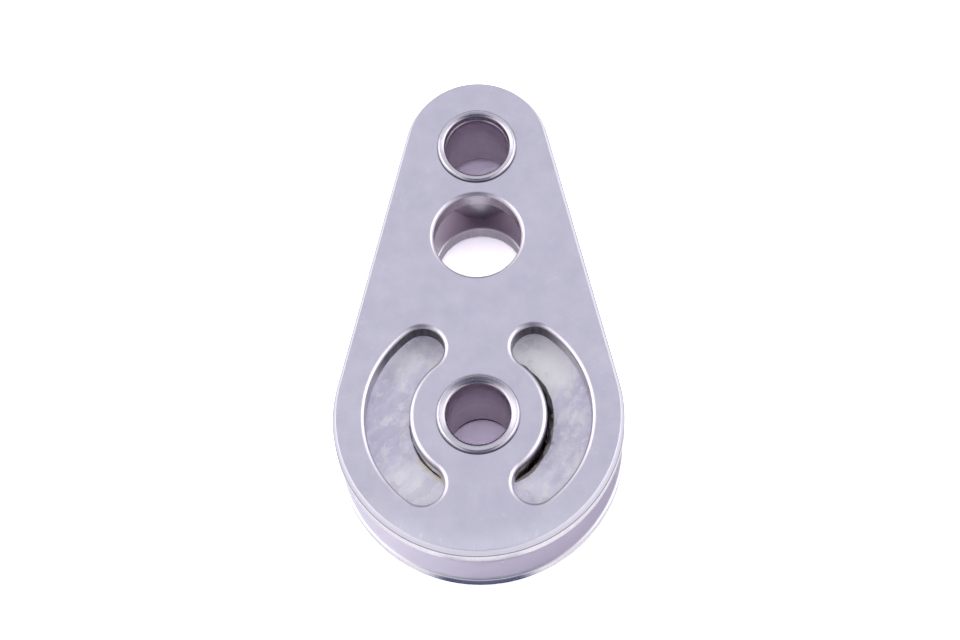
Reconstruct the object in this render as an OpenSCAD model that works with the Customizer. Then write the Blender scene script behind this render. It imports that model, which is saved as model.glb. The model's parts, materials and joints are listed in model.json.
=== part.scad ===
// Small single sailing block: two pear-shaped cheeks held together by two hollow rivets,
// with a grooved sheave turning on two rows of balls between them.
// The origin is on the sheave's axis, midway between the cheeks. +Z runs along that axis
// and +Y points to the narrow head. All sizes are in millimetres.

/* [Sheave] */
// Diameter over the sheave's flanges
sheave_d = 24; // [20:0.5:32]
// Width of the sheave between its flat sides
sheave_w = 5.4; // [4.8:0.1:8]
// Depth of the rope groove
groove_depth = 1.7; // [1:0.1:2.2]
// Thickness of each flange at its tip
flange_t = 0.4; // [0.3:0.05:0.6]
// Radius on the flanges' outer edges
flange_edge_r = 0.25; // [0.1:0.05:0.3]
// Radius on the edges of the sheave's bore
bore_edge_r = 0.4; // [0.1:0.05:0.5]
// Clearance between the sheave and each cheek
side_clearance = 0.25; // [0.15:0.05:0.5]

/* [Ball race] */
// Diameter of a ball
ball_d = 2.38; // [2:0.01:2.6]
// Clearance between the balls and each wall of the race
ball_clearance = 0.085; // [0.03:0.005:0.15]
// Least gap between two neighbouring balls of a row
ball_gap = 0.02; // [0.01:0.01:0.3]
// Gap between the two rows of balls
row_gap = 0.12; // [0.05:0.01:0.3]
// Wall of the sleeve that the balls run on
race_sleeve_wall = 0.58; // [0.4:0.02:1.2]

/* [Rivets] */
// Bore of both hollow rivets, which takes a 6 mm pin
pin_bore_d = 6.1; // [5:0.1:8]
// Wall of a rivet's barrel
rivet_wall = 0.5; // [0.4:0.05:0.8]
// Width of the rolled rim, from the bore outwards
rim_w = 0.83; // [0.7:0.01:1.1]
// How far the rolled rim stands out of the cheek
rim_proud = 0.3; // [0.15:0.05:0.35]
// Clearance round the rivets, in the cheeks and in the tubes
rivet_fit = 0.02; // [0.01:0.01:0.05]
// Wall of the spacer tube at the head
spacer_wall = 0.58; // [0.4:0.02:1.2]

/* [Cheeks] */
// Thickness of a cheek
cheek_t = 2.4; // [1.6:0.1:4]
// How far the cheeks' round end reaches past the sheave
cheek_overhang = 2; // [1:0.1:4]
// Width of the cheeks' round head
head_w = 14.3; // [12:0.1:20]
// Space for the rope, from the sheave's rim to the spacer tube
throat = 12; // [10.5:0.1:20]
// Radius on the cheeks' outer edge
cheek_edge_r = 0.45; // [0.2:0.05:0.7]
// Radius on the cheeks' inner edge, beside the rope
inner_edge_r = 0.2; // [0.1:0.05:0.4]

/* [Windows and lashing hole] */
// Angle from the middle of a window to the centre of its round end
window_half_angle = 52; // [40:1:58]
// How far the windows reach in past the edge of the sheave's bore
race_reveal = 0.09; // [0.02:0.01:0.3]
// How far the cheeks cover the sheave's rim outside the windows
rim_cover = 1.16; // [0.8:0.02:1.6]
// Diameter of the lashing hole
lashing_hole_d = 8.6; // [5:0.1:9]
// How far the lashing hole's centre lies above the middle of the throat
lashing_hole_rise = 0.6; // [-1:0.1:0.8]
// Radius on the mouths of the windows and the lashing hole
mouth_edge_r = 0.42; // [0.2:0.02:0.6]

/* [Hidden] */
$fn = 96;

// Heights
cheek_gap = sheave_w + 2 * side_clearance;
half_t = cheek_gap / 2 + cheek_t;

// Rivets and the tubes round them
rivet_bore_r = pin_bore_d / 2;
rivet_r = rivet_bore_r + rivet_wall;
rivet_hole_r = rivet_r + rivet_fit;
rim_r = rim_w / 2;
rim_mid_r = rivet_bore_r + rim_r;
rim_z = half_t + rim_proud - rim_r;
race_sleeve_r = rivet_hole_r + race_sleeve_wall;
spacer_r = rivet_hole_r + spacer_wall;

// Ball race
sheave_bore_r = race_sleeve_r + ball_d + 2 * ball_clearance;
ball_pitch_r = (race_sleeve_r + sheave_bore_r) / 2;
ball_row_z = (ball_d + row_gap) / 2;
balls_per_row = floor(180 / asin((ball_d + ball_gap) / (2 * ball_pitch_r)));
ball_step = 360 / balls_per_row;
ball_rows = ["upper", "lower"];

// Sheave: the groove is the arc that fits its width and its depth
sheave_r = sheave_d / 2;
groove_half_w = sheave_w / 2 - flange_t;
groove_r = (pow(groove_half_w, 2) + pow(groove_depth, 2)) / (2 * groove_depth);
groove_mid_r = sheave_r - groove_depth + groove_r;

// Cheek outline: two round ends joined by their common tangents
cheek_r = sheave_r + cheek_overhang;
head_r = head_w / 2;
head_y = sheave_r + throat + spacer_r;
taper = asin((cheek_r - head_r) / head_y);
side_len = head_y * cos(taper);

// Windows and lashing hole
window_inner_r = sheave_bore_r - race_reveal;
window_outer_r = sheave_r - rim_cover;
window_w = window_outer_r - window_inner_r;
window_mid_r = (window_outer_r + window_inner_r) / 2;
lashing_hole_r = lashing_hole_d / 2;
lashing_hole_y = sheave_r + throat / 2 + lashing_hole_rise;

// Small step where a side runs into a round end, so that their surfaces cross and don't just touch
blend_step = 0.01;

// How far a cut runs past a face, so that it goes clean through
cut_over = 1;

steel = [0.72, 0.70, 0.76];
polished_steel = [0.85, 0.85, 0.88];
nylon = [0.88, 0.88, 0.84];

function ball_name(row, i) = str("ball_", ball_rows[row], "_", i + 1);

// Half section of a cheek, from its middle at x = 0 to its rim at x = r, outer face up
module cheek_section(r) {
    square([r - cheek_edge_r, cheek_t]);
    square([r - inner_edge_r, cheek_t / 2]);
    translate([0, inner_edge_r])
        square([r, cheek_t - cheek_edge_r - inner_edge_r]);
    translate([r - cheek_edge_r, cheek_t - cheek_edge_r])
        circle(cheek_edge_r);
    translate([r - inner_edge_r, inner_edge_r])
        circle(inner_edge_r);
}

// Straight side of the cheek, up to the middle line
module cheek_side() {
    intersection() {
        rotate([0, 0, taper])
            translate([-blend_step, side_len, 0])
                rotate([90, 0, 0])
                    linear_extrude(side_len)
                        cheek_section(cheek_r);
        translate([0, -cheek_r, 0])
            cube([2 * cheek_r, 2 * cheek_r + head_y, cheek_t]);
    }
}

// Pear-shaped plate with rounded edges and no holes yet
module cheek_blank() {
    rotate_extrude()
        cheek_section(cheek_r);
    translate([0, head_y, 0])
        rotate_extrude()
            cheek_section(head_r);
    cheek_side();
    mirror([1, 0, 0])
        cheek_side();
}

// Rounded mouth that widens a cut to the right of x, at both faces of a cheek
module mouth_section(x) {
    difference() {
        translate([x, cheek_t - mouth_edge_r])
            square([mouth_edge_r, mouth_edge_r + cut_over]);
        translate([x + mouth_edge_r, cheek_t - mouth_edge_r])
            circle(mouth_edge_r);
    }
    difference() {
        translate([x, -cut_over])
            square([inner_edge_r, inner_edge_r + cut_over]);
        translate([x + inner_edge_r, inner_edge_r])
            circle(inner_edge_r);
    }
}

// Section of a cut of width w, with a rounded mouth on its right side
module cut_section(w) {
    translate([0, -cut_over])
        square([w, cheek_t + 2 * cut_over]);
    mouth_section(w);
}

// Curved window, an arc with round ends
module window_cut() {
    rotate([0, 0, -window_half_angle])
        rotate_extrude(angle = 2 * window_half_angle)
            translate([window_mid_r, 0])
                for (side = [0, 1])
                    mirror([side, 0])
                        cut_section(window_w / 2);
    for (end = [-1, 1])
        rotate([0, 0, end * window_half_angle])
            translate([window_mid_r, 0, 0])
                rotate_extrude()
                    cut_section(window_w / 2 - blend_step);
}

// Hole for a rivet, with the seat that its rolled rim fills at the outer face
module rivet_hole_cut() {
    rotate_extrude() {
        translate([0, -cut_over])
            square([rivet_hole_r, cheek_t + 2 * cut_over]);
        translate([rim_mid_r, rim_z - cheek_gap / 2])
            circle(rim_r + rivet_fit);
    }
}

// One cheek, above the sheave, with its outer face up
module cheek() {
    translate([0, 0, cheek_gap / 2])
        difference() {
            cheek_blank();
            rivet_hole_cut();
            translate([0, head_y, 0])
                rivet_hole_cut();
            translate([0, lashing_hole_y, 0])
                rotate_extrude()
                    cut_section(lashing_hole_r);
            window_cut();
            mirror([1, 0, 0])
                window_cut();
        }
}

module top_cheek() {
    color(steel)
        cheek();
}

module bottom_cheek() {
    color(steel)
        mirror([0, 0, 1])
            cheek();
}

// Rounded bar across the sheave's section, from radius r1 to r2, with edge radii e1 and e2
module sheave_bar(r1, r2, e1, e2) {
    difference() {
        translate([r1, -sheave_w / 2])
            square([r2 - r1, sheave_w]);
        for (side = [0, 1])
            mirror([0, side]) {
                corner_cut(r1, e1, 1);
                corner_cut(r2, e2, -1);
            }
    }
}

// What a rounding of radius e takes off the corner at radius r, where the bar lies on side dir
module corner_cut(r, e, dir) {
    difference() {
        translate([r, sheave_w / 2])
            square(2 * e, center = true);
        translate([r + dir * e, sheave_w / 2 - e])
            circle(e);
    }
}

module sheave() {
    color(nylon)
        rotate_extrude()
            difference() {
                sheave_bar(sheave_bore_r, sheave_r, bore_edge_r, flange_edge_r);
                translate([groove_mid_r, 0])
                    circle(groove_r);
            }
}

// Hollow rivet with a rolled rim at each end, standing on the sheave's axis
module hollow_rivet() {
    rotate_extrude() {
        translate([rivet_bore_r, -rim_z])
            square([rivet_wall, 2 * rim_z]);
        for (side = [-1, 1])
            translate([rim_mid_r, side * rim_z])
                circle(rim_r);
    }
}

module axle_rivet() {
    color(polished_steel)
        hollow_rivet();
}

module head_rivet() {
    color(polished_steel)
        translate([0, head_y, 0])
            hollow_rivet();
}

// Tube round a rivet that holds the cheeks apart
module spacing_tube(outer_r) {
    rotate_extrude()
        translate([rivet_hole_r, -cheek_gap / 2])
            square([outer_r - rivet_hole_r, cheek_gap]);
}

module race_sleeve() {
    color(steel)
        spacing_tube(race_sleeve_r);
}

module head_spacer() {
    color(steel)
        translate([0, head_y, 0])
            spacing_tube(spacer_r);
}

// Ball i of a row; the lower row is turned by half a step
module race_ball(row, i) {
    color(polished_steel)
        rotate([0, 0, (i + row / 2) * ball_step])
            translate([ball_pitch_r, 0, (1 - 2 * row) * ball_row_z])
                sphere(d = ball_d);
}

top_cheek();
bottom_cheek();
sheave();
axle_rivet();
head_rivet();
race_sleeve();
head_spacer();
for (row = [0:1], i = [0:balls_per_row - 1])
    race_ball(row, i);
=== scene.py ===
# %% [markdown]
# # A small sailing block, dressed for its portrait
#
# The object is a thumb-sized block from a sailing dinghy: two pear-shaped stainless cheeks,
# held together by two hollow rivets, with a nylon sheave turning on balls between them.
# The CAD model already says where everything is and how it moves. This script loads that
# frame, builds a finer skin for each part, gives it a finish and sets up the photograph.
# Blender's start-up cube, lamp and camera are removed first, so that nothing but the block
# is measured.

# %% Load the frame
import json
import math

import bmesh
import bpy
from mathutils import Matrix, Vector, noise

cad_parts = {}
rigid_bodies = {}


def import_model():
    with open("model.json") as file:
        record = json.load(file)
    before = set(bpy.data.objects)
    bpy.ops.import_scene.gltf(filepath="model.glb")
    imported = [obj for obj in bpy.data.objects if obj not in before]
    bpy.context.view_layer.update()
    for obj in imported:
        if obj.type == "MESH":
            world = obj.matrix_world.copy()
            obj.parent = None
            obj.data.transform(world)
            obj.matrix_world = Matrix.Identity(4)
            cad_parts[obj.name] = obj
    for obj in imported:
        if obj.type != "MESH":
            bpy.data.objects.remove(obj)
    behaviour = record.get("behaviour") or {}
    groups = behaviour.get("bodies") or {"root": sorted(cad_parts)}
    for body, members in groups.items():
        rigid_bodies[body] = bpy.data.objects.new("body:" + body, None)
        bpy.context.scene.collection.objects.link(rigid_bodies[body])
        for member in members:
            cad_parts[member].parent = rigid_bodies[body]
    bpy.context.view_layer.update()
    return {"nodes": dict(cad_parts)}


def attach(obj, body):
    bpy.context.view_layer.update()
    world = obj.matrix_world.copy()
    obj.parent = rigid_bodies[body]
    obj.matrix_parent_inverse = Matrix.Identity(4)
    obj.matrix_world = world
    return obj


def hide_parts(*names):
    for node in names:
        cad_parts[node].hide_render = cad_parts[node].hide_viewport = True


for leftover in list(bpy.data.objects):
    bpy.data.objects.remove(leftover)
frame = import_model()

# %% [markdown]
# ## The measures
#
# A part this small is easier to think about in millimetres, so every piece is drawn in
# millimetres and scaled to metres when it is finished. The block's own sizes are the same
# ones that its solids were made from. A skin has to lie on its solid, so it starts from the
# same numbers and is not judged by eye. The finishes need a few of them, which come first.
# The others stand beside the piece that they shape.

# %% Places in millimetres
MM = 0.001
head_y = 28.15             # the head's rivet, from the axle
lashing_y = 18.6           # the lashing hole, from the axle
roll_z = 4.5               # where the rolled outer edge meets the cut wall
rim_r = {"axle": 4.01, "head": 3.88}     # how far each rolled rim reaches
print("rivets", head_y, "mm apart, lashing hole", round(head_y - lashing_y, 2), "mm from the head's")

# %% [markdown]
# ## Writing finishes as arithmetic
#
# A finish is a network of nodes. Wiring it up by hand hides the idea behind the plumbing, so
# a small class wraps an output socket and lets Python's own signs add the Math nodes:
# `1 - mask` or `wear * 0.3 + grain` reads like the sum that it is. Every other node comes
# from one method, which takes the node's type, its settings, and what goes into its sockets.

# %% A socket that does sums
class Signal:
    """An output socket of a finish. Arithmetic on it adds Math nodes."""

    def __init__(self, finish, socket):
        self.finish = finish
        self.socket = socket

    def maths(self, operation, left, right):
        return self.finish.node("ShaderNodeMath", {"operation": operation}, {0: left, 1: right})

    def __add__(self, other):
        return self.maths("ADD", self, other)

    def __radd__(self, other):
        return self.maths("ADD", other, self)

    def __sub__(self, other):
        return self.maths("SUBTRACT", self, other)

    def __rsub__(self, other):
        return self.maths("SUBTRACT", other, self)

    def __mul__(self, other):
        return self.maths("MULTIPLY", self, other)

    def __rmul__(self, other):
        return self.maths("MULTIPLY", other, self)

    def __abs__(self):
        return self.maths("ABSOLUTE", self, 0.0)


# %% A node tree in the making
class Recipe:
    """A node tree that is put together step by step."""

    def __init__(self, title, tree):
        self.title = title
        self.tree = tree
        self.tree.nodes.clear()

    def count(self, step):
        """Prints how many nodes there are once a step is done."""
        print(f"{self.title}, {step}: {len(self.tree.nodes)} nodes")

    def node(self, kind, settings=(), sockets=(), output=0):
        made = self.tree.nodes.new(kind)
        for key, value in dict(settings).items():
            setattr(made, key, value)
        for key, value in dict(sockets).items():
            if isinstance(value, Signal):
                self.tree.links.new(value.socket, made.inputs[key])
            else:
                made.inputs[key].default_value = value
        return Signal(self, made.outputs[output])

    def mask(self, value, low, high):
        """0 below low, 1 above high, smooth in between. Works downwards as well."""
        return self.node("ShaderNodeMapRange", {"interpolation_type": "SMOOTHSTEP"},
                         {"Value": value, "From Min": low, "From Max": high})

    def blend(self, amount, first, second):
        """Mixes two colours. Each is a signal, or its red, green and blue."""
        first, second = [colour if isinstance(colour, Signal) else (*colour, 1)
                         for colour in (first, second)]
        return self.node("ShaderNodeMix", {"data_type": "RGBA"},
                         {0: amount, 6: first, 7: second}, 2)

    def finish_tree(self, kind, shader):
        """The output node."""
        made = self.tree.nodes.new(kind)
        self.tree.links.new(shader.socket, made.inputs["Surface"])


# %% A finish, which is a recipe for a material
class Finish(Recipe):
    """A material in the making. Places are in millimetres."""

    def __init__(self, name):
        self.material = bpy.data.materials.new(name)
        self.material.use_nodes = True
        super().__init__(name, self.material.node_tree)
        lookup = self.node("ShaderNodeTexCoord", output="Object")
        self.place = self.node("ShaderNodeVectorMath", {"operation": "SCALE"},
                               {0: lookup, "Scale": 1 / MM})
        self.x, self.y, self.z = [self.node("ShaderNodeSeparateXYZ", {}, {0: self.place}, axis)
                                  for axis in "XYZ"]
        facing = self.node("ShaderNodeTexCoord", output="Normal")
        upward = self.node("ShaderNodeSeparateXYZ", {}, {0: facing}, "Z")
        self.upright = abs(upward)

    def reach(self, x=0, y=0):
        """Distance from an upright line at that place."""
        flat = self.node("ShaderNodeVectorMath", {"operation": "MULTIPLY_ADD"},
                         {0: self.place, 1: (1, 1, 0), 2: (-x, -y, 0)})
        return self.node("ShaderNodeVectorMath", {"operation": "LENGTH"}, {0: flat}, "Value")

    def noise(self, scale, detail=2.0, stretch=(1, 1, 1), turn=(0, 0, 0), rough=0.5):
        """Cloudy noise from 0 to 1. Scale is in features per millimetre."""
        spot = self.place
        if stretch != (1, 1, 1) or turn != (0, 0, 0):
            angles = [math.radians(a) for a in turn]
            spot = self.node("ShaderNodeMapping", {"vector_type": "TEXTURE"},
                             {"Vector": spot, "Rotation": angles,
                              "Scale": [1 / s for s in stretch]})
        return self.node("ShaderNodeTexNoise", {},
                         {"Vector": spot, "Scale": scale, "Detail": detail,
                          "Roughness": rough})

    def surface(self, height, depth_mm, **sockets):
        """Principled surface with a bump of that height. Underscores stand for spaces."""
        bump = self.node("ShaderNodeBump", {}, {"Height": height, "Distance": depth_mm * MM})
        named = {key.replace("_", " "): value for key, value in sockets.items()}
        shader = self.node("ShaderNodeBsdfPrincipled", {}, {**named, "Normal": bump})
        self.finish_tree("ShaderNodeOutputMaterial", shader)
        self.count("finished")
        return self.material


# %% [markdown]
# ## Satin steel, for the cheeks
#
# The cheeks are stamped from stainless plate and tumbled, which leaves a soft, even satin
# with a lilac cast under this light. What keeps it from looking like plastic is all that is
# uneven: a very fine grain, specks, and sparse scratches that run any way. A photographed
# texture would show these too, but it would tie the finish to one picture, so noise draws
# them. Scratches are the thin lines where a stretched noise passes one chosen value, which
# is cheaper than drawing each one.

# %% Scratches
def scratches(finish, turn, scale, seed_shift, width=0.012):
    """Thin lines along one direction, broken into short runs."""
    long_noise = finish.noise(scale, 1.0, stretch=(0.08, 1.0, 1.0), turn=(0, 0, turn))
    line = finish.mask(abs(long_noise - 0.5 + seed_shift), width, 0.0)
    runs = finish.mask(finish.noise(scale * 0.35, 2.0, turn=(0, 0, turn + 20)), 0.52, 0.62)
    return line * runs


# %% Satin steel: noises, distances and directions
steel = Finish("satin_steel")
cloud = steel.noise(0.45, 4.0, rough=0.65)
grain = steel.noise(5.0, 3.0, rough=0.7)
speck = steel.mask(steel.noise(1.6, 2.0), 0.68, 0.74)
streak = steel.noise(3.5, 3.0, stretch=(1, 1, 0.12), rough=0.65)
lines = (scratches(steel, 75, 1.3, 0.03) + scratches(steel, -35, 1.6, -0.05)
         + scratches(steel, 20, 1.1, 0.06))
from_axle = steel.reach()
from_head = steel.reach(0, head_y)
from_hole = steel.reach(0, lashing_y)
flat = steel.mask(steel.upright, 0.9, 0.97)
wall = steel.mask(steel.upright, 0.35, 0.1)
outline = steel.mask(from_axle, 13.5, 13.6) * steel.mask(from_hole, 4.9, 5.1)
steel.count("what the layers are made of")

# %% Satin steel: the plain face
tone = steel.blend(cloud, (0.590, 0.552, 0.625), (0.740, 0.691, 0.775))
tone = steel.blend(lines * 0.14, tone, (0.90, 0.88, 0.95))
tone = steel.blend(speck * 0.25, tone, (0.85, 0.83, 0.88))
steel.count("the plain face")

# %% [markdown]
# ### The rolled edge and the round end
#
# The edge that faces outwards leans over and is a little duller than the face. It is painted
# a little darker, as shade, with a painted highlight where it turns onto the face. The round
# end is what touches the deck, so it is scuffed just inside the edge, and near it the face is
# painted paler, as light. Each of these is one more layer, laid over the last where a mask
# lets it through, as a painter would glaze it.

# %% Satin steel: the rolled edge and the scuffs
# a painted highlight where the rolled edge turns onto the face
brow_highlight = outline * steel.mask(steel.upright, 0.42, 0.55) * steel.mask(steel.upright, 0.995, 0.97)
tone = steel.blend(brow_highlight * 0.8, tone, (1.0, 0.98, 1.0))
# painted shade on the leaning roll
roll = outline * steel.mask(steel.upright, 0.9, 0.6) * (1 - wall)
tone = steel.blend(roll * 0.6, tone, (0.57, 0.56, 0.68))
# the face near the round end is painted paler, as light
pale = steel.mask(from_axle, 10.8, 13.4) * steel.mask(steel.y, -8.0, -13.0) * flat
tone = steel.blend(pale * 0.4, tone, (0.88, 0.84, 0.90))
dragged = steel.mask(steel.noise(3.2, 2.0, stretch=(1, 0.12, 1)), 0.55, 0.68)
scuffs = dragged * flat * steel.mask(abs(from_axle - 13.2), 0.45, 0.1)
scuffs = scuffs * steel.mask(steel.y, -10.0, -12.5)
tone = steel.blend(scuffs * 0.5, tone, (0.92, 0.90, 0.96))
steel.count("the rolled edge and the scuffs")

# %% [markdown]
# ### The cut walls
#
# A punch cuts cleanly at first and tears the rest, so the walls have streaks along its
# travel. At the far ends of the windows the wall is painted dark, as shade. The island round
# the axle is painted lighter, as a reflection of the nylon, but it is painted dark, as shade,
# in a band under its mouth and, on the right, nearly all the way down. The lashing hole's
# wall is painted dim at its sides, as shade, and keeps a bright strip in the middle. The cut
# wall at the round end of the lower cheek is painted blue, as a reflection.

# %% Satin steel: the walls of the windows
cut = steel.blend(streak, (0.76, 0.72, 0.78), (0.99, 0.96, 1.0))
tone = steel.blend(wall * 0.85, tone, cut)
punched = wall * steel.mask(from_axle, 11.6, 11.2)
# painted shade on the walls of the windows
window_wall_shade = steel.blend(steel.mask(streak, 0.35, 0.65), (0.02, 0.015, 0.025), (0.09, 0.08, 0.10))
far_end = steel.mask(steel.y - steel.mask(steel.x, -1.0, 1.0) * 2.6 + streak * 0.8, 4.2, 6.8)
window_wall_shade = steel.blend(far_end, (0.55, 0.52, 0.57), window_wall_shade)
tone = steel.blend(punched * 0.92, tone, window_wall_shade)
# the island's wall is painted lighter, as a reflection of the nylon
island = punched * steel.mask(from_axle, 7.2, 6.8)
tone = steel.blend(island * 0.9, tone, (0.80, 0.78, 0.82))
# and it is painted dark, as shade, in a band under its mouth and down its right side
shaded = steel.mask(abs(steel.z), 4.25, 4.45)
shaded = shaded + (1 - shaded) * steel.mask(steel.x, 1.0, 4.0) * steel.mask(steel.y, -4.9, -4.4)
tone = steel.blend(island * shaded * 0.95, tone, (0.03, 0.03, 0.03))
steel.count("the walls of the windows")

# %% Satin steel: the lashing hole, the lowest wall and the foot of the roll
# the lashing hole's wall is painted dim at its sides, as shade
hole_wall = wall * steel.mask(from_hole, 4.7, 4.5)
spread = abs(steel.x) + streak * 0.9 - steel.z * 0.15
dim = hole_wall * steel.mask(spread, 0.2, 1.6)
tone = steel.blend(dim * (0.35 + steel.mask(steel.z, 0, 1) * 0.6), tone, (0.35, 0.28, 0.36))
# the lowest cut wall, at the round end of the lower cheek, is painted blue, as a reflection
blue = wall * steel.mask(steel.z, -2.9, -3.2) * steel.mask(steel.y, -11.0, -13.0)
tone = steel.blend(blue * steel.mask(abs(steel.x), 6.5, 3.6), tone, (0.44, 0.45, 0.56))
crease = (steel.mask(abs(abs(steel.z) - roll_z + cloud * 0.06), 0.13, 0.04)
          * outline * steel.mask(steel.upright, 0.55, 0.45))
tone = steel.blend(crease * 0.8, tone, (0.12, 0.10, 0.14))
steel.count("the other walls")

# %% [markdown]
# ### The inner faces and the painted shade
#
# Inside, the faces are painted brighter, as light, more on the left than on the right, but
# the lower one is painted darker round the head's tube, as shade. A dark contact shadow is
# painted along the near foot of each rolled rim. The last step puts the roughness together
# and presses grain, scratches and streaks into the surface as a bump a few thousandths of a
# millimetre deep.

# %% Satin steel: the inner faces and the painted contact shadows
# the inner faces are painted brighter, as light, more on the left than on the right
inner = steel.mask(abs(steel.z), 3.1, 3.0)
painted_light_across = steel.mask(steel.x, -9.0, 7.0)
tone = steel.blend(inner, tone,
                   steel.blend(painted_light_across, (0.95, 0.92, 0.97), (0.75, 0.71, 0.78)))
# painted shade on the lower inner face round the head's tube
low_shade = inner * steel.mask(steel.z, 0, -1) * steel.mask(steel.y, 19.5, 22.0)
tone = steel.blend(low_shade * steel.mask(abs(steel.x), 7.5, 2.0), tone, (0.36, 0.29, 0.36))
# painted contact shadows along the near foot of each rolled rim
axle_contact_shadow = steel.mask(from_axle, rim_r["axle"] + 0.15, rim_r["axle"] + 0.08)
axle_contact_shadow = axle_contact_shadow * (steel.mask(steel.y, 0.5, -3.2) + steel.mask(steel.y, 2.8, 4.0) * 0.3)
head_contact_shadow = steel.mask(from_head, rim_r["head"] + 0.15, rim_r["head"] + 0.08)
head_contact_shadow = head_contact_shadow * steel.mask(steel.y, head_y + 0.5, head_y - 3.2)
tone = steel.blend((axle_contact_shadow + head_contact_shadow) * flat * 0.93, tone, (0.03, 0.03, 0.04))
steel.count("the inner faces and the seams")

# %% Satin steel: the finished surface
edge = steel.mask(steel.upright, 0.985, 0.9) * (1 - wall)
rough = (0.24 + cloud * 0.10 + grain * 0.06 - wall * 0.06 - speck * 0.05
         + punched * 0.2 - island * 0.25 + edge * 0.06)
height = grain * 0.35 + lines * -0.5 + wall * streak * 2.0 + speck * 0.15 + scuffs * 0.3
satin_steel = steel.surface(height, 0.004, Base_Color=tone, Metallic=1.0, Roughness=rough)

# %% [markdown]
# ## Polished steel, for the rivets
#
# The rivets are turned from bar and their rims are rolled over by a tool, so the rims are
# the shiniest thing here. A rim this small mirrors more of the room than a simple tent can
# hold, so reflection and shade are painted into its tone: the far side of the axle's rim is
# painted darker, as a reflection, and each lip is painted darker, as shade, as it falls into
# the bore. Inside the bore the lathe left faint rings, which are a noise squeezed along the
# axis. The rings show only where the wall faces sideways.

# %% Polished steel: the turned bore and the rim
steel = Finish("polished_steel")
rings = steel.noise(3.0, 2.0, stretch=(0.03, 0.03, 1.0))
smear = steel.noise(0.8, 3.0, rough=0.6)
nicks = steel.mask(steel.noise(2.6, 2.0), 0.66, 0.72)
wall = steel.mask(steel.upright, 0.4, 0.1)
from_axle = steel.reach()
from_head = steel.reach(0, head_y)
tone = steel.blend(smear, (0.55, 0.52, 0.585), (0.69, 0.655, 0.72))
turned = steel.blend(rings, (0.72, 0.62, 0.75), (0.90, 0.80, 0.92))
tone = steel.blend(wall, tone, turned)
steel.count("the turned bore and the rim")

# %% Polished steel: the dark places
# the far side of the axle's rim is painted dark, as a reflection of the dark front of the tent
far = steel.mask(abs(from_axle - 3.62), 0.26, 0.12) * steel.mask(steel.y, 2.0, 3.2)
tone = steel.blend(far * (1 - wall) * 0.65, tone, (0.20, 0.18, 0.22))
# each bore is painted darker as the lip falls into it, as shade, and the near side gets a painted
# dark line
fall = steel.mask(from_axle, 3.55, 3.2) + steel.mask(from_head, 3.5, 3.2)
tone = steel.blend(fall * (1 - wall) * 0.5, tone, (0.30, 0.27, 0.32))
inside = steel.mask(from_axle, 3.45, 3.3) + steel.mask(from_head, 3.45, 3.3)
near = steel.mask(steel.y, -0.8, -2.4) + steel.mask(abs(steel.y - head_y + 3.0), 2.2, 0.6)
lip = inside * near * steel.mask(steel.upright, 0.95, 0.82) * (1 - wall)
tone = steel.blend(lip * 0.8, tone, (0.12, 0.09, 0.12))
# under the lip, the axle's far wall and all of the head's bore are painted darker, as uneven shade
under = wall * steel.mask(steel.z, 3.7, 4.6) * steel.mask(steel.y, -1.5, 1.5)
shade_noise = steel.noise(3.2, 3.0, stretch=(1, 1, 0.1), rough=0.65)
tone = steel.blend(under * (0.5 + shade_noise * 0.4), tone, (0.30, 0.25, 0.31))
steel.count("the dark places")

# %% Polished steel: the finished surface
rough = 0.20 + smear * 0.10 + wall * 0.06 + nicks * 0.1
height = wall * rings * 2.0 + smear * 0.5 - nicks * 0.4 + under * shade_noise * 0.3
polished_steel = steel.surface(height, 0.006, Base_Color=tone, Metallic=1.0, Roughness=rough)

# %% [markdown]
# ## Drawn and ground steel, for the tubes and the balls
#
# The tubes that hold the cheeks apart are cut from drawn tube, whose faint lines run along
# the axis. The head's tube is painted dimmer at its sides and darker towards its foot, as
# shade. The balls are ground and hard, almost mirror-like, with the odd fine mark. Both are
# short recipes, because so little of them is seen.

# %% Drawn steel
steel = Finish("drawn_steel")
drawn = steel.noise(4.0, 3.0, stretch=(1.0, 1.0, 0.05), rough=0.6)
cloud = steel.noise(0.5, 2.0)
tone = steel.blend(drawn, (0.78, 0.72, 0.80), (1.0, 0.96, 1.0))
spread = abs(steel.x) - steel.z * 0.3
# painted shade at the tube's sides
sides = steel.mask(spread, -0.6, 1.0) * steel.mask(abs(steel.x), 3.2, 1.7)
tone = steel.blend(sides * 0.2, tone, (0.40, 0.34, 0.41))
# painted shade, darker towards the tube's foot
low_shade = steel.mask(steel.z, -0.9, -2.9)
tone = steel.blend(low_shade * 0.65, tone, (0.44, 0.38, 0.45))
rough = 0.24 + cloud * 0.1 + drawn * 0.08
height = drawn + cloud * 0.5
drawn_steel = steel.surface(height, 0.008, Base_Color=tone, Metallic=1.0, Roughness=rough)

# %% Ball steel
steel = Finish("ball_steel")
haze = steel.noise(1.2, 3.0)
marks = scratches(steel, 40, 1.5, 0.02)
tone = steel.blend(haze, (0.56, 0.55, 0.58), (0.66, 0.65, 0.68))
rough = 0.06 + haze * 0.06 + marks * 0.2
height = haze * 0.4 - marks
ball_steel = steel.surface(height, 0.002, Base_Color=tone, Metallic=1.0, Roughness=rough)

# %% [markdown]
# ## Natural nylon, for the sheave
#
# Undyed nylon is milky rather than white. It lets a little light in, and its crystals form
# unevenly as it cools, so milkier and clearer patches run round the wheel. Painted light makes
# them paler near two spots, at the lower left and the upper right, and least so beside the
# axle, and a painted sheen lies at the upper right. Rope and sand add fine streaks. A plain
# white would look like paint, so several soft noises share the work.

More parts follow.
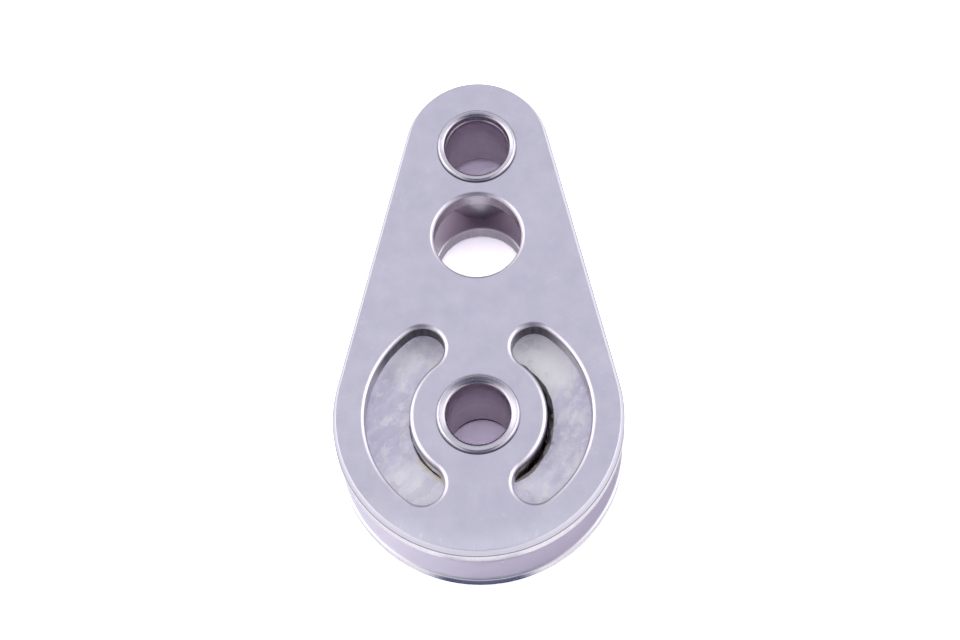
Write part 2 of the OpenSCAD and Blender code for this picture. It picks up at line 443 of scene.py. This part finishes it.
# %% Natural nylon: noises
nylon = Finish("natural_nylon")
milk = nylon.noise(0.45, 4.0, rough=0.55)
wisps = nylon.noise(0.9, 4.0, stretch=(0.35, 1.0, 1.0), turn=(0, 0, 55), rough=0.6)
fine = nylon.noise(4.0, 2.0)
flecks = nylon.noise(2.0, 2.0, stretch=(0.5, 1.3, 1.0), turn=(0, 0, 35))
flecks = nylon.mask(flecks, 0.62, 0.70)
streaks = nylon.noise(1.2, 4.0, stretch=(0.4, 1.0, 1.0), turn=(0, 0, 65), rough=0.65)
lines = (scratches(nylon, 35, 1.2, 0.02, 0.03) + scratches(nylon, -20, 1.0, -0.03, 0.03)
         + scratches(nylon, 80, 1.1, 0.05, 0.02))
nylon.count("noises")

# %% Natural nylon: milk, clouds and streaks
# painted light: the patches are paler near the lower left and the upper right, and away from the
# axle
painted_light_spots = (nylon.mask(nylon.reach(-6.0, -5.4), 4.2, 0.5)
          + nylon.mask(nylon.reach(6.4, 5.5), 4.2, 0.5) + nylon.mask(abs(nylon.y), 3.0, 6.5))
patches = nylon.mask(milk * 0.5 + wisps * 0.5 + painted_light_spots * 0.15, 0.36, 0.74)
tone = nylon.blend(patches, (0.65, 0.63, 0.82), (0.88, 0.865, 1.0))
tone = nylon.blend(nylon.mask(streaks, 0.50, 0.68) * 0.4, tone, (0.92, 0.915, 1.0))
tone = nylon.blend(nylon.mask(streaks, 0.46, 0.30) * 0.2, tone, (0.56, 0.54, 0.68))
tone = nylon.blend(flecks * 0.4, tone, (0.97, 0.97, 1.0))
# a painted sheen at the upper right
bright = nylon.mask(nylon.reach(6.2, 5.8), 4.2, 1.2)
tone = nylon.blend(bright * 0.55, tone, (0.99, 0.98, 1.0))
nylon.count("milk, clouds and streaks")

# %% [markdown]
# ### Flakes, flash and painted shade
#
# Some crystals catch the light as small flakes with sharp edges, which no soft noise gives,
# and these glints are painted into the colour. A Voronoi texture, which cuts space into cells,
# has such edges, and a noise bends them out of their too straight lines. At the bore's edge a
# little yellowed flash is left from the mould. All round the bore's edge, and widest on the
# worn side, the nylon is painted dark, as shade: black above the axle and brown-grey below.

# %% Natural nylon: flakes and scratches
per_mm = 1.3               # flakes in a millimetre
bend_mm = (1.1, 1.1, 1.1)
wobble = nylon.node("ShaderNodeTexNoise", {}, {"Vector": nylon.place, "Scale": per_mm}, "Color")
bent = nylon.node("ShaderNodeVectorMath", {"operation": "MULTIPLY_ADD"},
                  {0: wobble, 1: bend_mm, 2: nylon.place})
cells = nylon.node("ShaderNodeTexVoronoi", {}, {"Vector": bent, "Scale": per_mm}, "Color")
flake = nylon.node("ShaderNodeSeparateXYZ", {}, {0: cells}, "X")
# painted glints on some flakes
glint = nylon.mask(flake, 0.55, 0.95) * nylon.mask(streaks, 0.42, 0.56)
tone = nylon.blend(glint * 0.5, tone, (0.96, 0.95, 1.0))
tone = nylon.blend(nylon.mask(flake, 0.30, 0.0) * 0.3, tone, (0.58, 0.56, 0.68))
tone = nylon.blend(lines * 0.35, tone, (0.93, 0.925, 1.0))
nylon.count("flakes and scratches")

# %% Natural nylon: flash and painted shade at the bore's edge
radius = nylon.reach()
flash = (nylon.mask(radius + milk * 0.8, 7.5, 7.3) * nylon.mask(nylon.y, -3.0, -4.6)
         * nylon.mask(wisps, 0.42, 0.52))
tone = nylon.blend(flash * 0.8, tone, (0.84, 0.77, 0.56))
worn = nylon.mask(nylon.x, 2.5, 4.6)
above = nylon.mask(nylon.y, -0.5, 1.5)
# painted shade at the bore's edge, widest on the worn side: black above the axle, brown-grey below
bore_edge_shade = nylon.mask(radius + milk * 0.5 - worn * (0.5 + above * 0.18), 6.98, 6.88)
bore_edge_shade_tone = nylon.blend(above, (0.26, 0.21, 0.21), (0.02, 0.02, 0.02))
tone = nylon.blend(bore_edge_shade * 0.95, tone, bore_edge_shade_tone)
nylon.count("flash and bore_shade")

# %% Natural nylon: the finished surface
rough = 0.38 + fine * 0.14 - flecks * 0.12
height = fine * 0.4 + wisps * 1.2 + flecks * 0.8 + lines * 0.8
natural_nylon = nylon.surface(height, 0.02, Base_Color=tone, Roughness=rough,
                              Subsurface_Weight=0.15,
                              Subsurface_Radius=(0.0009, 0.0008, 0.0008),
                              Subsurface_Scale=1.0, IOR=1.53)

# %% [markdown]
# ## Loops and walls
#
# Nearly every shape here is a closed line of arcs and straight runs: the pear, the curved
# windows, the round holes, and the sections of the turned parts. So one helper draws such a
# line. Each arc is spun from a single vertex, and the ends are joined. A rounded edge could
# be made with a bevel, but a bevel needs clean faces beside the edge, and a plate with six
# holes in it has none. Instead the same line is drawn again a little further in and a little
# higher, and the lines are bridged.

# %% The loops' building blocks
SNAP = 1e-4        # points closer than this, in millimetres, are one point


def arc(centre, radii, start, sweep, steps):
    """One arc of a loop. Radii are across and along; angles are in degrees."""
    if not isinstance(radii, tuple):
        radii = (radii, radii)
    return centre, radii, start, sweep, steps


def point(x, y):
    """A corner of a loop: an arc of no size."""
    return (x, y), (0, 0), 0, 0, 0


# %% Drawing a loop
def draw_loop(bm, arcs, z=0.0):
    """Closed loop of edges through the arcs, at height z. Drawn apart, then copied in."""
    loop = bmesh.new()
    ends = []
    for centre, radii, start, sweep, steps in arcs:
        before = set(loop.verts)
        angle = math.radians(start)
        first = bmesh.ops.create_vert(loop, co=(math.cos(angle), math.sin(angle), 0))["vert"][0]
        last = first
        if steps:
            last = bmesh.ops.spin(loop, geom=[first], cent=(0, 0, 0), axis=(0, 0, 1),
                                  angle=math.radians(sweep), steps=steps,
                                  use_merge=False)["geom_last"][0]
        fresh = [v for v in loop.verts if v not in before]
        bmesh.ops.scale(loop, vec=(radii[0], radii[1], 1), verts=fresh)
        bmesh.ops.translate(loop, vec=(centre[0], centre[1], z), verts=fresh)
        ends.append((first, last))
    for (_, last), (first, _) in zip(ends, ends[1:] + ends[:1]):
        if (last.co - first.co).length > SNAP:
            loop.edges.new((last, first))
    bmesh.ops.remove_doubles(loop, verts=loop.verts, dist=SNAP)
    sheet = bpy.data.meshes.new("loop")
    loop.to_mesh(sheet)
    loop.free()
    old_count = len(bm.edges)
    bm.from_mesh(sheet)
    bpy.data.meshes.remove(sheet)
    bm.edges.ensure_lookup_table()
    return bm.edges[old_count:]


trial = bmesh.new()
ring = [arc((0, 0), 1, 0, 360, 24)]
print("a trial ring of 24 steps has", len(draw_loop(trial, ring)), "edges")
trial.free()

# %% Drawing a wall
def draw_wall(bm, shape, stations):
    """Draws shape(offset) at each (offset, z) and bridges the loops. Returns the end loops."""
    loops = [draw_loop(bm, shape(offset), z) for offset, z in stations]
    for lower, upper in zip(loops, loops[1:]):
        bmesh.ops.bridge_loops(bm, edges=lower + upper)
    return loops[0], loops[-1]


trial = bmesh.new()
draw_wall(trial, lambda offset: ring, [(0, 0), (0, 1)])
print("and a trial wall on that ring has", len(trial.faces), "faces")
trial.free()

# %% Finishing a piece
def finish_piece(bm, name, material, body, node):
    """Turns a closed shell in millimetres into a piece that stands for a CAD node."""
    bmesh.ops.remove_doubles(bm, verts=bm.verts, dist=SNAP)
    bmesh.ops.recalc_face_normals(bm, faces=bm.faces)
    bmesh.ops.scale(bm, vec=(MM, MM, MM), verts=bm.verts)
    open_edges = sum(1 for edge in bm.edges if len(edge.link_faces) != 2)
    mesh = bpy.data.meshes.new(name)
    bm.to_mesh(mesh)
    triangles = sum(len(face.verts) - 2 for face in bm.faces)
    bm.free()
    mesh.materials.append(material)
    piece = bpy.data.objects.new(name, mesh)
    bpy.context.scene.collection.objects.link(piece)
    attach(piece, body)
    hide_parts(node)
    print(f"{name}: {triangles} triangles, {open_edges} open edges")


# %% [markdown]
# ## The cheeks
#
# A cheek is a stamped plate. The outer edge is rolled over, so that it leans inwards from a
# short cut wall, and the inner edge has only a small rounding. The windows and the lashing
# hole have rounded mouths so that they don't cut the rope or the fingers. The rivet holes
# have a hollow seat that the rolled rim presses into. The lower cheek's edge towards the rope
# is a little rounder than the upper one's, as in the photograph. Each wall is drawn from the
# inner face to the outer one, and two flat fills, which leave the holes open, close the plate.

# %% The sizes of a cheek
gap_half = 2.95            # middle of the block to a cheek's inner face
outer_z = 5.35             # middle of the block to a cheek's outer face
cheek_r = 14.0             # round end beside the sheave
head_r = 7.15              # round head
window_inner_r = 6.61
window_outer_r = 10.84
window_angle = 52.0        # from the middle of a window to its end, in degrees
lashing_r = 4.3
inner_round = (0.2, 0.2)   # width and depth of the small roundings inside
rope_round = {1: (0.12, 0.12), -1: (0.28, 0.14)}  # the outline's, on each cheek
window_round = (0.5, 0.42) # mouths, wider than they are deep
lashing_round = (0.42, 0.4)
roll_lean = 68.0           # how far the rolled edge leans over, in degrees

taper = math.degrees(math.asin((cheek_r - head_r) / head_y))
print("taper of the straight sides:", round(taper, 2), "degrees")
print("width of a window:", round(window_outer_r - window_inner_r, 2), "mm")


# %% The lines of a cheek
def pear(inset):
    """The outline: two round ends, joined by straight sides."""
    return [
        arc((0, 0), cheek_r - inset, 180 - taper, 180 + 2 * taper, 168),
        arc((0, head_y), head_r - inset, taper, 180 - 2 * taper, 84),
    ]


def window(side):
    """The window on side 1 (right) or -1 (left), as a function of how far it is widened."""
    mid_r = (window_outer_r + window_inner_r) / 2
    cap_r = (window_outer_r - window_inner_r) / 2
    lift = math.radians(window_angle)
    cap_x = mid_r * math.cos(lift)
    cap_y = mid_r * math.sin(lift)

    def widened(grow):
        line = [
            arc((0, 0), window_outer_r + grow, -window_angle, 2 * window_angle, 72),
            arc((cap_x, cap_y), cap_r + grow, window_angle, 180, 40),
            arc((0, 0), window_inner_r - grow, window_angle, -2 * window_angle, 56),
            arc((cap_x, -cap_y), cap_r + grow, 180 - window_angle, 180, 40),
        ]
        if side > 0:
            return line
        return [arc((-c[0], c[1]), r, 180 - s, -w, n) for c, r, s, w, n in line]
    return widened


def round_hole(radius, y):
    """A round hole, as a function of how far it is widened."""
    def widened(grow):
        return [arc((0, y), radius + grow, 0, 360, 120)]
    return widened


print("a cheek's outline is", len(pear(0)), "arcs, and a window's", len(window(1)(0)))

# %% The stations of its walls
def rounding(width, depth, steps):
    """(inset, drop) from a wall to a face: a quarter of an ellipse."""
    turns = [math.radians(90 * i / steps) for i in range(steps + 1)]
    return [(width * (1 - math.cos(t)), depth * (1 - math.sin(t))) for t in turns]


def rounded_wall(mouth):
    """Stations from the inner face, round the inner edge, up and round the mouth."""
    low = [(inset, gap_half + drop) for inset, drop in reversed(rounding(*inner_round, 4))]
    high = [(inset, outer_z - drop) for inset, drop in rounding(*mouth, 12)]
    return low + high


def rolled_wall(side):
    """Stations of the outline: inner edge, cut wall, leaning roll, and the turn onto the face."""
    low = [(inset, gap_half + drop) for inset, drop in reversed(rounding(*rope_round[side], 8))]
    step_in = 0.02             # a small step inwards, where the roll starts
    corner = 0.03              # radius of the turn onto the face
    turn_steps = 5
    lean = math.radians(roll_lean)
    face_turn = corner * (1 - math.cos(lean))
    roll_w = (outer_z - face_turn - roll_z) / math.tan(lean)
    # stations close beside a corner keep the shading of the straight runs even
    high = [(0, roll_z - 0.14), (0, roll_z - 0.06)]
    high += [(step_in, roll_z), (2 * step_in, roll_z + 0.05)]
    high.append((roll_w - 0.01, outer_z - face_turn - 0.03))
    for i in range(turn_steps + 1):
        turn = lean * (1 - i / turn_steps)
        high.append((step_in + roll_w + corner * (math.sin(lean) - math.sin(turn)),
                     outer_z - corner * (1 - math.cos(turn))))
    return low + high


print("stations of the outline:", len(rolled_wall(1)))

# %% The seats of the rivets
rivet_hole_r = 3.57
rim_z = 5.235              # middle of the block to the middle of a rolled rim
rim_h = 0.415              # half height of the rim's section
bead_w = {"axle": 0.25, "head": 0.23}    # outer bead, from its top to its foot


def seat_wall(place):
    """Stations of a rivet hole, which opens into the hollow seat of the rolled rim."""
    gap = 0.03                 # between the bead and its seat
    steps = 8
    reach_w = bead_w[place] + gap
    mid_r = rim_r[place] - bead_w[place]
    stations = [(0, gap_half)]
    first = math.asin((rivet_hole_r - mid_r) / reach_w)
    last = math.pi / 2 + math.asin((outer_z - rim_z) / (rim_h + gap))
    for i in range(steps + 1):
        turn = first + (last - first) * i / steps
        radius = mid_r + reach_w * math.sin(turn)
        stations.append((radius - rivet_hole_r, rim_z - (rim_h + gap) * math.cos(turn)))
    return stations


print("stations of a seat:", len(seat_wall("axle")))

# %% Both cheeks
def build_cheek(name, node, side):
    """A cheek on side 1 (top) or -1 (bottom)."""
    bm = bmesh.new()
    walls = [
        draw_wall(bm, pear, rolled_wall(side)),
        draw_wall(bm, window(1), rounded_wall(window_round)),
        draw_wall(bm, window(-1), rounded_wall(window_round)),
        draw_wall(bm, round_hole(lashing_r, lashing_y), rounded_wall(lashing_round)),
        draw_wall(bm, round_hole(rivet_hole_r, 0), seat_wall("axle")),
        draw_wall(bm, round_hole(rivet_hole_r, head_y), seat_wall("head")),
    ]
    for face in bm.faces:
        face.smooth = True
    for end in (0, 1):
        rims = [edge for wall in walls for edge in wall[end]]
        bmesh.ops.triangle_fill(bm, edges=rims, use_beauty=True)
    bmesh.ops.scale(bm, vec=(1, 1, side), verts=bm.verts)
    finish_piece(bm, name, satin_steel, "shell", node)


build_cheek("top_cheek_plate", "top_cheek", 1)
build_cheek("bottom_cheek_plate", "bottom_cheek", -1)

# %% [markdown]
# ## Turned parts
#
# Rivets, tubes and sheave are all turned, so each is one section spun round an axis. The
# section is drawn lying flat, with the radius across and the height along, stood up on its
# edge, and spun a full turn whose ends are merged.

# %% A helper that turns a section
def turn_section(name, arcs, steps, y, material, body, node, shape=None):
    """Spins a closed section round the upright axis at height y of the block."""
    bm = bmesh.new()
    section = draw_loop(bm, arcs)
    bmesh.ops.rotate(bm, cent=(0, 0, 0), matrix=Matrix.Rotation(math.pi / 2, 3, "X"),
                     verts=bm.verts)
    bmesh.ops.spin(bm, geom=list(bm.verts) + section, cent=(0, 0, 0), axis=(0, 0, 1),
                   angle=2 * math.pi, steps=steps, use_merge=True)
    if shape:
        shape(bm)
    for face in bm.faces:
        face.smooth = True
    bmesh.ops.translate(bm, vec=(0, y, 0), verts=bm.verts)
    finish_piece(bm, name, material, body, node)


# %% [markdown]
# ## The hollow rivets
#
# Setting a hollow rivet rolls its end outwards. From outside, the rim is a thin round bead
# that sinks into its seat. Inside the bead a broad ring slopes gently inwards to a soft lip,
# and the lip falls into the bore. A little below it the tool left a small ledge, which shows
# as a thin line in the head's bore. The lower ends open like a funnel, so that the far wall
# meets the table in a crisp line. The section is one closed line with an arc or a point for
# each of these, and the two rivets differ only in a few measures.

# %% The section of a rivet
bore_r = 3.05
barrel_r = 3.55
cone = 13.0                # how far the rim's broad inner slope falls, in degrees
lip_r = {"axle": 0.38, "head": 0.28}     # the rounding from that slope into the bore
ledge = {"axle": (0.03, 4.0), "head": (0.12, 4.7)}  # width and height of the ledge below it
funnel_z = 4.3             # where the bore starts to open, at its lower end
funnel_r = 3.54            # how wide it gets


def rivet_section(place):
    """The section of the rivet at the axle or at the head."""
    mid_r = rim_r[place] - bead_w[place]
    tip = math.degrees(math.acos((barrel_r - mid_r) / bead_w[place]))
    bead = (bead_w[place], rim_h)
    end_z = rim_z + rim_h
    ledge_w, ledge_z = ledge[place]
    crest_r = 0.12             # the turn from the bead onto the broad slope
    end_h = 0.2                # height of the rounding at the funnel's end
    soft = 0.03                # height of the small steps that soften the ledge
    hair = 0.01                # and their width
    open_h = 0.04              # height of the step where the funnel starts
    fall = math.radians(cone)
    mouth = bore_r + ledge_w
    slope_w = mid_r - mouth - lip_r[place] + (lip_r[place] - crest_r) * math.sin(fall)
    lip_z = (end_z - crest_r + (crest_r - lip_r[place]) * math.cos(fall)
             - slope_w * math.tan(fall))
    return [
        arc((mid_r, rim_z), bead, -tip, 90 + tip, 20),
        arc((mid_r, end_z - crest_r), crest_r, 90, cone, 4),
        arc((mouth + lip_r[place], lip_z), lip_r[place], 90 + cone, 90 - cone, 10),
        point(mouth, ledge_z + 2 * soft),
        point(mouth - hair, ledge_z + soft),
        point(bore_r + hair, ledge_z - soft),
        point(bore_r, ledge_z - 2 * soft),
        point(bore_r, open_h - funnel_z),
        point(bore_r + 2 * hair, -funnel_z - open_h),
        arc((mid_r, end_h - end_z), (mid_r - funnel_r, end_h), 180, 90, 8),
        arc((mid_r, -rim_z), bead, -90, 90 + tip, 20),
    ]


# %% The rivets
rivet_steps = 144          # round the axis, as for the other turned parts
for place, y in (("axle", 0), ("head", head_y)):
    turn_section(f"{place}_rivet_tube", rivet_section(place), rivet_steps, y,
                 polished_steel, "shell", f"{place}_rivet")

# %% [markdown]
# ## The tubes round the rivets
#
# Two short tubes hold the cheeks apart. The one at the axle is also what the balls run on.
# The other shows through the lashing hole. Their ends are broken with a tiny rounding, as a
# file leaves them. A cylinder that is given a wall would have sharp ends, so they are turned
# from a section as well.

# %% The tubes
tube_r = 4.15
tube_steps = 120


def tube_section():
    """The section of either tube, with its ends broken."""
    broken = 0.06
    low_r = rivet_hole_r + broken
    high_r = tube_r - broken
    end_z = gap_half - broken
    return [
        arc((high_r, -end_z), broken, -90, 90, 4),
        arc((high_r, end_z), broken, 0, 90, 4),
        arc((low_r, end_z), broken, 90, 90, 4),
        arc((low_r, -end_z), broken, 180, 90, 4),
    ]


for name, node, y in (("race_tube", "race_sleeve", 0), ("spacer_tube", "head_spacer", head_y)):
    turn_section(name, tube_section(), tube_steps, y, drawn_steel, "shell", node)

# %% [markdown]
# ## The sheave
#
# The wheel is moulded nylon with a rope groove. The moulding tool leaves a slightly ragged
# edge round the bore, and it is that edge which shows beside the dark gap in each window. A
# smooth noise pushes only that edge about: a few hundredths of a millimetre nearly all
# round, inwards where flash is left from the mould, and back by up to half a millimetre on
# the worn side. Two more rings of points on each flat side keep the uneven shading close to
# the bore, so that the rest of the side stays flat.

# %% The sheave's section
sheave_r = 12.0
sheave_half_w = 2.7
sheave_bore_r = 6.7
bore_edge = 0.12           # rounding of the bore's edges
sheave_steps = 216


def sheave_section():
    """One side of the wheel: flanges, groove, flat sides and bore."""
    rim_edge = 0.25
    flange_w = 0.4             # what is left of each flange at its edge
    depth = 1.7
    half_groove = sheave_half_w - flange_w
    groove_r = (half_groove ** 2 + depth ** 2) / (2 * depth)
    groove_mid = sheave_r - depth + groove_r
    open_angle = math.degrees(math.asin(half_groove / groove_r))
    bore_x = sheave_bore_r + bore_edge
    bore_z = sheave_half_w - bore_edge
    rim_x = sheave_r - rim_edge
    edge_z = sheave_half_w - rim_edge
    outer_ring = rim_x - 0.1
    inner_ring = sheave_bore_r + 1.1
    even_z = 2.1               # the bore's wall stays true up to here
    return [
        arc((rim_x, edge_z), rim_edge, 0, 90, 6),
        point(outer_ring, sheave_half_w),
        point(inner_ring, sheave_half_w),
        arc((bore_x, bore_z), bore_edge, 90, 90, 8),
        point(sheave_bore_r, even_z),
        point(sheave_bore_r, -even_z),
        arc((bore_x, -bore_z), bore_edge, 180, 90, 8),
        point(inner_ring, -sheave_half_w),
        point(outer_ring, -sheave_half_w),
        arc((rim_x, -edge_z), rim_edge, 270, 90, 6),
        arc((groove_mid, 0), groove_r, 180 + open_angle, -2 * open_angle, 36),
    ]


# %% Its ragged edge
flash_in = 0.16            # how far the flash stands into the bore
worn_back = 0.28           # how far the worn side stands back, on average
diagonal = 1.414           # root of two: the flash is thickest between left and down


def fray_bore_edge(bm):
    """Makes the edges of the bore uneven, and worn back on one side."""
    frayed_r = sheave_bore_r + bore_edge + 0.01
    frayed_z = 2.2
    moved = 0
    for vert in bm.verts:
        radius = math.hypot(vert.co.x, vert.co.y)
        if radius > frayed_r or abs(vert.co.z) < frayed_z:
            continue
        wave = noise.noise(vert.co * 1.7) * 0.7 + noise.noise(vert.co * 6.0) * 0.4
        worn = max(0, vert.co.x / radius) ** 4
        flash = max(0, -(vert.co.x + vert.co.y) / (diagonal * radius)) ** 2
        push = 0.04 + 0.05 * wave + worn * (worn_back + 0.35 * wave) - flash * flash_in
        outward = 1 + push / radius
        vert.co.x *= outward
        vert.co.y *= outward
        moved += 1
    print("bore edge points moved:", moved)


turn_section("sheave_wheel", sheave_section(), sheave_steps, 0, natural_nylon,
             "sheave", "sheave", fray_bore_edge)

# %% [markdown]
# ## The balls
#
# The balls are true spheres and the CAD already has them, so they stay as they are and only
# get their finish. Each sits on the body that carries the two rows round.

# %% The balls' finish
balls = [name for name in frame["nodes"] if name.startswith("ball_")]
for name in balls:
    frame["nodes"][name].data.materials.clear()
    frame["nodes"][name].data.materials.append(ball_steel)
print("balls finished:", len(balls))

# %% [markdown]
# ## The table
#
# The block lies on a plain white table. To the camera the table has to be white, yet it must
# still take the block's shadow, so an ordinary pale surface is made brighter for the rays
# that come straight from the camera. Polished metal near the table mirrors it, so glossy
# rays get a little extra too, all but in a nook below the round end, which is painted dark
# and blue for glossy rays, as the shadow that the lower cheek mirrors. Down the bores the
# table is painted a lilac shade for the camera, with a painted dark contact shadow where the
# rivet stands on it.

# %% The table's top
table_half = 1.5           # in metres
bm = bmesh.new()
bmesh.ops.create_grid(bm, x_segments=1, y_segments=1, size=table_half)
bmesh.ops.translate(bm, vec=(0, 0, -(rim_z + rim_h) * MM), verts=bm.verts)
table_mesh = bpy.data.meshes.new("table_top")
bm.to_mesh(table_mesh)
bm.free()
table = bpy.data.objects.new("table_top", table_mesh)
bpy.context.scene.collection.objects.link(table)
print("table", 2 * table_half, "m wide,", round(rim_z + rim_h, 2), "mm below the block's middle")

# %% The table's finish
white = Finish("white_table")
camera_ray = white.node("ShaderNodeLightPath", output="Is Camera Ray")
glossy_ray = white.node("ShaderNodeLightPath", output="Is Glossy Ray")
speckle = white.noise(0.05, 2.0)
tone = white.blend(speckle, (0.90, 0.90, 0.91), (0.93, 0.93, 0.94))
for rivet_y, ring_dark in ((0, 0.9), (head_y, 0.2)):
    bore = white.reach(0, rivet_y)
    # painted shade under each bore, for camera rays only
    tone = white.blend(white.mask(bore, 4.2, 3.9) * camera_ray, tone, (0.61, 0.61, 0.67))
    # and a painted contact shadow where the rivet stands on the table
    contact_shadow_ring = white.mask(bore, 3.28, 3.42) * white.mask(bore, 4.3, 3.9)
    tone = white.blend(contact_shadow_ring * ring_dark, tone, (0.03, 0.02, 0.03))
gain = white.node("ShaderNodeVectorMath", {"operation": "SCALE"},
                  {0: tone, "Scale": 1 + camera_ray * 2.1 + glossy_ray * 0.24})
# painted shadow in the nook below the round end, for glossy rays only
nook = (white.mask(abs(white.x), 6.0, 3.6) * white.mask(white.y, -16.2, -15.4)
        * white.mask(white.y, -13.0, -13.6))
gain = white.blend(nook * glossy_ray, gain, (0.22, 0.24, 0.35))
lit = white.node("ShaderNodeBsdfDiffuse", {}, {"Color": gain})
white.finish_tree("ShaderNodeOutputMaterial", lit)
table_mesh.materials.append(white.material)
white.count("finished")

# %% [markdown]
# ## The light
#
# The photograph was taken in a white tent, with soft boxes at both sides. They put the crisp
# white lines on every edge that faces left or right. The rest of the tent is plainer. A band
# of its roof is a little dim and blue, and three dark patches stand for what the metal
# mirrors: the photographer's body, the open front with the camera, and the back. A modelled
# tent would do too, but it would also shade the table, so the tent is the world here: white,
# with the band and the patches drawn only for mirrored rays.

# %% The tent's directions and rays
tent_light = 0.66          # how strongly the tent lights the block; it shows as 1
world = bpy.data.worlds.new("tent")
bpy.context.scene.world = world
world.use_nodes = True
tent = Recipe("tent", world.node_tree)
way = tent.node("ShaderNodeTexCoord", output="Generated")
x, z = [tent.node("ShaderNodeSeparateXYZ", {}, {0: way}, axis) for axis in "XZ"]
mirror = tent.node("ShaderNodeLightPath", output="Is Glossy Ray")
seen = tent.node("ShaderNodeLightPath", output="Is Camera Ray")
clear = tent.node("ShaderNodeLightPath", output="Is Transmission Ray")
plain = mirror.maths("MAXIMUM", mirror, seen.maths("MAXIMUM", seen, clear))
tent.count("directions and rays")

# %% The tent's roof and dark patches
roof = tent.mask(z, 0.55, 0.8) * tent.mask(abs(x), 0.52, 0.28) * mirror
colour = tent.blend(roof, (1, 1, 1), (0.72, 0.755, 0.86))
# direction, where the patch starts and is full, and its colour
patches = [
    ((0.02, -0.93, 0.36), 0.84, 0.92, (0.27, 0.28, 0.40)),
    ((0.03, -0.52, 0.85), 0.84, 0.90, (0.11, 0.115, 0.17)),
    ((0.0, 0.985, 0.17), 0.88, 0.96, (0.26, 0.25, 0.31)),
]
for direction, start, full, tint in patches:
    towards = tent.node("ShaderNodeVectorMath", {"operation": "DOT_PRODUCT"},
                        {0: way, 1: direction}, "Value")
    colour = tent.blend(tent.mask(towards, start, full) * mirror, colour, tint)
strength = tent_light + plain * (1 - tent_light)
shade = tent.node("ShaderNodeBackground", {}, {"Color": colour, "Strength": strength})
tent.finish_tree("ShaderNodeOutputWorld", shade)
tent.count("finished")

# %% The soft boxes
# places and sizes in metres, power in watts
block_middle = Vector((0, 0.01, 0))
box_x, box_y, box_z = 0.36, 0.07, 0.27
box_size = (0.46, 0.44)
box_power = 0.85
for side, name in ((-1, "side_box_left"), (1, "side_box_right")):
    lamp = bpy.data.lights.new(name, "AREA")
    lamp.shape = "RECTANGLE"
    lamp.size, lamp.size_y = box_size
    lamp.energy = box_power
    stand = bpy.data.objects.new(name, lamp)
    bpy.context.scene.collection.objects.link(stand)
    spot = Vector((side * box_x, box_y, box_z))
    aim = (block_middle - spot).to_track_quat("-Z", "Y")
    stand.matrix_world = Matrix.Translation(spot) @ aim.to_matrix().to_4x4()
    print(f"{name}: {(block_middle - spot).length * 100:.0f} cm from the block")

# %% [markdown]
# ## The camera
#
# The camera looks down on the seen face from the axle end. Its place was found by laying the
# model's edges over the photograph until they met: about 22 degrees off square, 5 degrees
# round to the right, and 32 cm away, through a long lens. Aiming a camera at a point with a
# constraint is quicker, but its lean is then hard to set, so the three angles are given.

# %% The camera
# off square, round to the right, and lean, in radians
tilt = 0.382
turn = 0.087
lean = -0.005
camera_place = Vector((10.432, -107.316, 297.625)) * MM
lens = bpy.data.cameras.new("camera")
lens.sensor_width = 36.0
lens.lens = 122.34
lens.clip_start = 0.01
camera = bpy.data.objects.new("camera", lens)
bpy.context.scene.collection.objects.link(camera)
back = Vector((math.sin(turn) * math.sin(tilt), -math.cos(turn) * math.sin(tilt),
               math.cos(tilt)))
across = Vector((0, 1, 0)).cross(back).normalized()
axes = Matrix((across, back.cross(across), back)).transposed()
camera.matrix_world = (Matrix.Translation(camera_place) @ axes.to_4x4()
                       @ Matrix.Rotation(lean, 4, "Z"))
bpy.context.scene.camera = camera
bpy.context.scene.view_settings.view_transform = "Standard"
print(f"camera: {camera_place.length * 100:.0f} cm away, {math.degrees(tilt):.0f} degrees off "
      f"square, {math.degrees(turn):.0f} degrees round")
